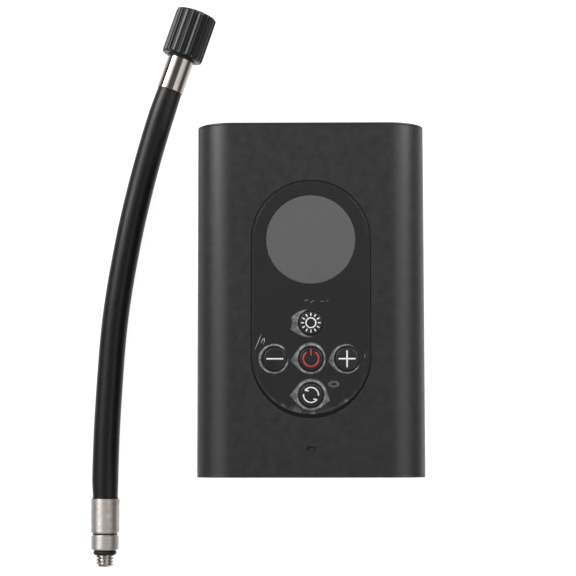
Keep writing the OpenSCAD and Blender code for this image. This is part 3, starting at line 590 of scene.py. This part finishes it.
softened("casing_sleeve", "shell_sleeve", 0.22, "casing")
softened("casing_top_cap", "top_cap", 0.3, "casing")
softened("casing_bottom_cap", "bottom_cap", 0.3, "casing")
softened("cap_screws", "case_screws", 0.12, "screw_steel")
softened("outlet_socket_turned", "outlet_socket", 0.18, "nickel")
softened("charging_port_shell", "usb_port", 0.06, "screw_steel")

# ---- Panel ----

PANEL_W, PANEL_SPAN, PANEL_GROW = 38.9, 38.6, 0.1
PAD_Y = -PANEL_SPAN / 2 - 0.4
PITCH = 11.7
KEYS = {
    "light": (0, PAD_Y + PITCH),
    "minus": (-PITCH, PAD_Y),
    "power": (0, PAD_Y),
    "plus": (PITCH, PAD_Y),
    "mode": (0, PAD_Y - PITCH),
}
KEY_R, KEY_TOP, KEY_CROWN = 3.78, 46.3, 0.14
KEY_FLANGE_R, KEY_FLANGE_TOP = 4.4, 44.2
KEY_STEM_R, KEY_STEM_END = 1.2, 42.5



def grow_outline(panel):
    """Moves the panel's outer wall out by PANEL_GROW, so that its gap to the casing is finer."""
    for vertex in panel.data.vertices:
        along = max(-PANEL_SPAN / 2, min(PANEL_SPAN / 2, vertex.co.y / MM))
        outward = vertex.co - mm(0, along, vertex.co.z / MM)
        if outward.length > (PANEL_W / 2 - 1) * MM:
            vertex.co += outward.normalized() * PANEL_GROW * MM


grow_outline(softened("panel_lens", "control_panel", 0.06, "panel_gloss"))
softened("display_window_lens", "display_window", 0.1, "window_grey")
indicator = softened("indicator_window", "indicator_lens", 0.1, indicator_material())


def key_height(r):
    """Height of a key's slightly domed face at a distance from its middle."""
    return KEY_TOP - KEY_CROWN * (r / KEY_R) ** 2


def at_key(key):
    return Matrix.Translation((*KEYS[key], 0))


key_face = [(KEY_R - 0.28, key_height(KEY_R - 0.28)), (KEY_R - 0.1, key_height(KEY_R) - 0.07),
            (KEY_R, key_height(KEY_R) - 0.3)]
key_profile = (
    [(0, key_height(0))] + [(r / 4, key_height(r / 4)) for r in range(1, 14)] + rounded(
        key_face + [(KEY_R, KEY_FLANGE_TOP), (KEY_FLANGE_R, KEY_FLANGE_TOP),
                    (KEY_FLANGE_R, KEY_FLANGE_TOP - 1), (KEY_STEM_R, KEY_FLANGE_TOP - 1),
                    (KEY_STEM_R, KEY_STEM_END), (0, KEY_STEM_END)], 0.1)
)


def arc(radius, start, end, steps=40):
    """Points on an arc, with angles in degrees anticlockwise from +X."""
    angles = [math.radians(start + (end - start) * i / steps) for i in range(steps + 1)]
    return [Vector((radius * math.cos(a), radius * math.sin(a))) for a in angles]


def stroke(points, width, closed=False):
    """Ribbon of quads along points in the plane, with round ends. Returns (points, faces).
    width is a number, or a function of the place along it from 0 to 1."""
    points = [Vector(p) for p in points]
    sides = []
    count = len(points)
    for i, p in enumerate(points):
        before = points[i - 1] if i or closed else p
        after = points[(i + 1) % count] if i < count - 1 or closed else p
        along = (after - before).normalized()
        across = width(i / (count - 1)) if callable(width) else width
        sides.append(Vector((-along.y, along.x)) * across / 2)
    rings = [(p + s, p - s) for p, s in zip(points, sides)]
    if not closed:
        for end, step, at in ((0, 1, 0), (-1, -1, len(rings))):
            p, s = points[end], sides[end]
            out = (points[end] - points[end + step]).normalized() * s.length
            caps = [(p + out * math.sin(a) + s * math.cos(a),
                     p + out * math.sin(a) - s * math.cos(a))
                    for a in (math.radians(d) for d in (80, 55, 28))]
            rings = caps + rings if at == 0 else rings + caps[::-1]
    verts = [v for ring in rings for v in ring]
    n = len(rings)
    faces = [(2 * i, 2 * i + 1, 2 * ((i + 1) % n) + 1, 2 * ((i + 1) % n))
             for i in range(n if closed else n - 1)]
    return verts, faces


def line(a, b, steps=8):
    a, b = Vector(a), Vector(b)
    return [a.lerp(b, i / steps) for i in range(steps + 1)]


def sun_strokes():
    yield arc(1.6, 0, 360 * 39 / 40, 39), 0.42, True
    for k in range(12):
        a = TAU * k / 12
        way = Vector((math.cos(a), math.sin(a)))
        yield line(way * 2.4, way * 3.05, 4), 0.4, False


def power_strokes():
    yield arc(2.5, 130, 410, 60), 0.56, False
    yield line((0, 1.25), (0, 2.95)), 0.5, False


MODE_R, MODE_TIP = 2.42, 142


def mode_strokes():
    for turn in (0, 180):
        yield arc(MODE_R, MODE_TIP + turn, turn - 2, 40), 0.42, False
        start = math.radians(MODE_TIP + turn)
        tip = Vector((math.cos(start), math.sin(start))) * MODE_R
        sign = 1 if turn == 0 else -1
        yield line(tip, tip + Vector((1.0, -0.15)) * sign, 6), 0.42, False


BAR = 5.1
FLAT_BAR = (line((-BAR / 2, 0), (BAR / 2, 0)), 0.5, False)
UPRIGHT_BAR = (line((0, -BAR / 2), (0, BAR / 2)), 0.5, False)
# Each icon is a list of strokes: points, width and whether the stroke closes on itself
ICONS = {
    "light": list(sun_strokes()),
    "minus": [FLAT_BAR],
    "power": list(power_strokes()),
    "plus": [FLAT_BAR, UPRIGHT_BAR],
    "mode": list(mode_strokes()),
}
PRINT_LIFT, PRINT_T = 0.012, 0.03


def make_key(key):
    """A key's cap and its printed icon, which both ride on the key's body."""
    body = f"{key}_key"
    print_look = PRINT_RED if key == "power" else PRINT_WHITE
    cap = lathe(f"{key}_button_cap", key_profile, at_key(key), "key_gloss", body, steps=72)
    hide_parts(f"button_{key}")
    centre = Vector(KEYS[key])
    for number, (points, width, closed) in enumerate(ICONS[key]):
        flat, faces = stroke(points, width, closed)
        verts = [(*(centre + v), key_height(v.length) + PRINT_LIFT) for v in flat]
        ink = solid(f"{key}_icon_{number}", verts, faces, print_look, body)
        thick = ink.modifiers.new("ink", "SOLIDIFY")
        thick.thickness, thick.offset = PRINT_T * MM, 0


for key in KEYS:
    make_key(key)

# ---- Protective film, lifted round each key ----

FILM_TOP, FILM_T, FILM_INSET, FILM_SHORT = 46.0, 0.08, 0.2, 1.0
FILM_SHIFT = Vector((0, FILM_SHORT / 2))
FILM_SPAN = PANEL_SPAN - FILM_SHORT
FILM_HOLE_R = 4.0
BLISTER_H = 0.34


class Blister:
    """Raised ring round a key: how far it reaches each way, and the beaks that point out of it."""

    def __init__(self, key, reach, beaks=(), gap=None, strength=1.0, centre=(0, 0)):
        self.key, self.reach, self.beaks, self.gap, self.strength = key, reach, beaks, gap, strength
        self.shift = Vector(centre)

    def edge(self, angle):
        """Outer radius of the ring at an angle, in radians anticlockwise from +X."""
        right, top, left, bottom = self.reach
        x, y = math.cos(angle), math.sin(angle)
        base = (right if x > 0 else left) * x * x + (top if y > 0 else bottom) * y * y
        for toward, tip in self.beaks:
            away = abs((angle - math.radians(toward) + math.pi) % TAU - math.pi)
            spread = math.acos(min(1, base / tip))
            if away < spread:
                base = base / math.cos(spread - away)
        return base

    def lift(self, angle):
        """Share of the full lift at an angle: it fades out over the flat part of the ring."""
        if self.gap is None:
            return self.strength
        middle, half = (math.radians(d) for d in self.gap)
        away = abs((angle - middle + math.pi) % TAU - math.pi)
        return self.strength * min(1, max(0.04, (away - half) / 0.5))


BLISTERS = [
    Blister("power", (4.75, 5.35, 5.25, 5.0), [(184, 6.8)]),
    Blister("mode", (5.3, 5.35, 5.3, 5.05), [(181, 7.1), (-16, 6.5)]),
    Blister("plus", (4.5, 4.85, 5.35, 4.85), [(187, 6.3)], gap=(20, 38), strength=0.9),
    Blister("minus", (4.5, 4.95, 5.4, 4.85), [], gap=(20, 12), strength=0.95, centre=(-0.45, 0)),
    Blister("light", (4.4, 4.6, 5.9, 4.8), [(163, 6.7), (197, 7.1)], gap=(8, 88), strength=0.9),
]
RING_STEPS = (0, 0.08, 0.16, 0.24, 0.32, 0.4, 0.5, 0.6, 0.72, 0.85, 0.95, 1)
# Radius and half width of the bright arc of painted highlight round each key
ARC_R, ARC_HALF_W = 4.5, 0.18


def profile_lift(u, r, arc_r):
    """Height and painted highlight across a blister: u runs from the key's side (0) to its outer
    edge (1), r is the distance from the key's middle and arc_r that of the bright arc of painted
    highlight."""
    height = min(1, u / 0.28) * (1 - u) ** 1.2
    outside = min(1, max(0, (r - arc_r + ARC_HALF_W) / (2 * ARC_HALF_W)))
    white = 0.04 + 0.5 * outside + 0.55 * math.exp(-(((r - arc_r) / ARC_HALF_W) ** 2))
    return height, white * min(1, (1 - u) / 0.07)


def capsule_outline(width, span, shift, count=64):
    points = []
    for end, start in ((1, 0), (-1, 180)):
        for p in arc(width / 2, start, start + 180, count):
            points.append(p + shift + Vector((0, end * span / 2)))
    return points


def inside_film(p, width):
    place = p - FILM_SHIFT
    return math.hypot(place.x, max(0, abs(place.y) - FILM_SPAN / 2)) < width / 2


def make_film():
    """One thin sheet with round holes for the keys, raised round each of them and whitened there by
    a painted highlight.
    """
    width = PANEL_W - 2 * FILM_INSET
    places, heights, painted_sheen, edges = [], [], [], []

    def ring(points, closed=True):
        first = len(places) - len(points)
        for i in range(len(points) - (0 if closed else 1)):
            edges.append((first + i, first + (i + 1) % len(points)))

    outline = capsule_outline(width, FILM_SPAN, FILM_SHIFT)
    for p in outline:
        places.append(p)
        heights.append(0.0)
        # Painted sparkle: whitening scattered along the film's lower end stands in for light caught
        # on its edge
        lower_end_sparkle = min(1, max(0, (-30 - p.y) / 5))
        painted_sheen.append(0.02 + lower_end_sparkle * (0.1 + 0.55 * random.random() ** 5))
    ring(outline)
    for blister in BLISTERS:
        centre = Vector(KEYS[blister.key])
        for u in RING_STEPS:
            points = []
            for k in range(96):
                a = TAU * k / 96
                lift = blister.lift(a)
                far = blister.edge(a)
                r = FILM_HOLE_R + u * (far - FILM_HOLE_R)
                way = Vector((math.cos(a), math.sin(a)))
                arc_r = min(ARC_R + blister.shift.dot(way), 0.45 * FILM_HOLE_R + 0.55 * far)
                # white here is painted highlight: the light that the raised film catches round the
                # key
                height, white = profile_lift(u, r, arc_r)
                uneven = 0.82 + 0.3 * math.sin(3 * a + len(blister.key)) * math.sin(7 * a + 1)
                points.append(centre + way * r)
                heights.append(BLISTER_H * height * lift)
                painted_sheen.append(max(0, white * lift * uneven))
            places.extend(points)
            if u in (0, 1):
                ring(points)
    step = 1.3
    for i in range(-14, 15):
        for j in range(-32, 33):
            p = Vector((i * step + 0.3 * random.random(), j * step + 0.3 * random.random()))
            clear = all((p - Vector(KEYS[b.key])).length > 7.4 for b in BLISTERS)
            if clear and inside_film(p, width - 1.2):
                places.append(p)
                heights.append(0.0)
                painted_sheen.append(0.0)
    points, _, triangles, origins, _, _ = delaunay_2d_cdt(places, edges, [], 0, 1e-5)
    faces = []
    for triangle in triangles:
        middle = sum((points[v] for v in triangle), Vector((0, 0))) / 3
        in_hole = any((middle - Vector(KEYS[b.key])).length < FILM_HOLE_R - 0.005 for b in BLISTERS)
        if not in_hole and inside_film(middle, width):
            faces.append(triangle)
    source = [o[0] if o else 0 for o in origins]
    verts = [(p.x, p.y, FILM_TOP + heights[s]) for p, s in zip(points, source)]
    mesh = bpy.data.meshes.new("protective_film_sheet")
    mesh.from_pydata([Vector(v) * MM for v in verts], [], [tuple(f) for f in faces])
    attribute = mesh.attributes.new("whitening", "FLOAT", "POINT")
    attribute.data.foreach_set("value", [painted_sheen[s] for s in source])
    bm = bmesh.new()
    bm.from_mesh(mesh)
    bmesh.ops.delete(bm, geom=[v for v in bm.verts if not v.link_faces], context="VERTS")
    bmesh.ops.recalc_face_normals(bm, faces=bm.faces)
    if sum(f.normal.z for f in bm.faces) < 0:
        bmesh.ops.reverse_faces(bm, faces=bm.faces)
    bm.to_mesh(mesh)
    bm.free()
    mesh.shade_smooth()
    film = add(bpy.data.objects.new("protective_film_sheet", mesh))
    thick = film.modifiers.new("thickness", "SOLIDIFY")
    thick.thickness, thick.offset = FILM_T * MM, -1
    finish_piece(film, FILM, "root")
    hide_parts("protective_film")


make_film()


def scratch(name, points, width, strength=1.0, closed=False):
    """A whitish line or smear lying on the film."""
    verts, faces = stroke(points, width, closed)
    piece = solid(name, [(v.x, v.y, FILM_TOP + 0.015) for v in verts], faces, SCRATCH, "root")
    white = piece.data.attributes.new("whitening", "FLOAT", "POINT")
    levels = [strength * (0.5 + 0.4 * random.random()) for _ in piece.data.vertices]
    white.data.foreach_set("value", levels)
    thick = piece.modifiers.new("thickness", "SOLIDIFY")
    thick.thickness, thick.offset = 0.012 * MM, 0


def taper(t):
    """Width of a scratch, widest in its middle."""
    return 0.12 + 0.2 * math.sin(math.pi * min(1, max(0, t)))


scratch("film_scratch_line", line((-18.1, -16.6), (-16.1, -11.7), 10), taper, 0.7)
HOOK = [(-16.2, -14.6), (-15.5, -13.2), (-15.2, -12.9), (-15.0, -14.1), (-15.6, -14.8)]
scratch("film_scratch_hook", HOOK, taper, 0.8)
for i in range(5):
    x = -3.4 + 1.9 * i + 1.2 * random.random()
    y = -1.5 + 1.1 * random.random()
    end = (x + 0.5 + random.random(), y + 0.35 * random.random())
    scratch(f"film_fleck_{i}", line((x, y), end, 4), taper, 0.28)
oval = [(7.4 + 1.5 * math.cos(TAU * i / 24), -27.9 + 0.75 * math.sin(TAU * i / 24))
        for i in range(24)]
scratch("film_smudge_oval", oval, 0.75, 0.14, closed=True)
scratch("film_tick", line((17.3, -19.4), (17.6, -18.2), 4), taper, 0.4)
scratch("film_dust", line((-1.35, 18.6), (-1.15, 18.7), 2), 0.22, 1.0)

# ---- Lamp and inner parts ----

softened("lamp_lens_cover", "lamp_lens", 0.25, "light_diffuser")

INNER_LOOKS = {
    "circuit_board": ["control_board", "lamp_board", "usb_board"],
    "chip_black": ["board_chips", "pressure_sensor"],
    "screw_steel": ["board_screws", "motor_screws", "head_screws", "crank_shaft", "motor_shaft",
                    "crank_pin", "tact_switches"],
    "cell_wrap": ["battery_cell_back", "battery_cell_front"],
    "inner_plastic": ["battery_holder", "motor_leads", "tee_fitting"],
    "white_nylon": ["motor_end_bell", "crank_gear", "air_tubes", "display_module", "piston_rod"],
    "nickel": ["battery_tabs"],
    "motor_steel": ["motor_can", "gear_frame", "counterweight", "crank_bearing", "rod_bearing"],
    "magnet": ["motor_magnets"],
    "winding": ["armature"],
    "brass": ["commutator", "pinion"],
    "cast_alloy": ["cylinder", "cylinder_head"],
    "soft_rubber": ["rubber_mounts", "piston_seal", "head_gasket", "outlet_valve"],
}
for look, names in INNER_LOOKS.items():
    for name in names:
        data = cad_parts[name].data
        data.materials.clear()
        data.materials.append(LOOKS[look])

# ---- Stage and light ----

FLOOR_Z = -0.05
FLOOR_PROFILE = [(0, FLOOR_Z), (1500, FLOOR_Z), (1800, 40), (2100, 170), (2350, 400), (2480, 700),
                 (2500, 1000), (2500, 1700)]


def make_floor():
    """Pale floor that sweeps up into a backdrop all round.
    Reflected and bounced light passes it and sees the world behind it instead."""
    verts, faces = lathe_mesh(FLOOR_PROFILE, Matrix.Identity(4))
    mesh = bpy.data.meshes.new("floor")
    mesh.from_pydata([v * MM for v in verts], [], faces)
    mesh.shade_smooth()
    floor = add(bpy.data.objects.new("floor", mesh))
    n = Nodes("floor_white")
    n.set(Base_Color=(0.35, 0.35, 0.35, 1), Roughness=0.9, Emission_Color=(1, 1, 1, 1))
    distance = n.new("ShaderNodeVectorMath", operation="LENGTH")
    n.link(n.coords, distance.inputs[0])
    glow = n.spread(distance.outputs["Value"], 0.92, 0.65, 0.3, 2.4)
    n.link(glow, n.shader.inputs["Emission Strength"])
    n.material.cycles.emission_sampling = "NONE"
    floor.data.materials.append(n.material)
    floor.visible_glossy = False
    floor.visible_diffuse = False


def softbox(name, place_mm, size_mm, watts, colour=(1, 1, 1)):
    """Rectangular light at a place in millimetres, aimed at the middle of the pump's front."""
    data = bpy.data.lights.new(name, "AREA")
    data.shape = "RECTANGLE"
    data.size, data.size_y = (s * MM for s in size_mm)
    data.energy = watts
    data.color = colour
    light = add(bpy.data.objects.new(name, data))
    light.location = mm(*place_mm)
    target = mm(0, 0, 30)
    light.rotation_euler = (target - light.location).to_track_quat("-Z", "Y").to_euler()
    light.visible_camera = False
    return light


# Brightness of the world against height, from straight down (0) to straight up (1)
WORLD_STOPS = ((0, 0.9), (0.15, 0.9), (0.33, 0.3), (0.42, 0.12), (0.5, 0.05), (0.6, 0.12),
               (0.7, 0.5), (0.8, 0.85), (0.93, 0.9), (0.955, 0.15), (1, 0.08))


def make_world():
    """Soft studio surroundings: bright above and below, dark at the horizon and overhead."""
    world = bpy.data.worlds.new("studio")
    scene.world = world
    world.use_nodes = True
    tree = world.node_tree
    background = tree.nodes["Background"]
    direction = tree.nodes.new("ShaderNodeTexCoord")
    split = tree.nodes.new("ShaderNodeSeparateXYZ")
    tree.links.new(direction.outputs["Generated"], split.inputs[0])
    ramp = tree.nodes.new("ShaderNodeValToRGB")
    elements = ramp.color_ramp.elements
    while len(elements) < len(WORLD_STOPS):
        elements.new(0.5)
    for element, (place, level) in zip(elements, WORLD_STOPS):
        element.position = place
        element.color = (level, level, level, 1)
    half = tree.nodes.new("ShaderNodeMapRange")
    half.inputs["From Min"].default_value = -1
    tree.links.new(split.outputs["Z"], half.inputs["Value"])
    tree.links.new(half.outputs["Result"], ramp.inputs["Fac"])
    tree.links.new(ramp.outputs["Color"], background.inputs["Color"])
    background.inputs["Strength"].default_value = 1


make_floor()
make_world()
softbox("softbox_left", (-450, 360, 303), (370, 320), 2.6)
softbox("softbox_right", (470, 370, 272), (330, 280), 2.35, (1, 0.98, 0.95))
scene.view_settings.view_transform = "Standard"
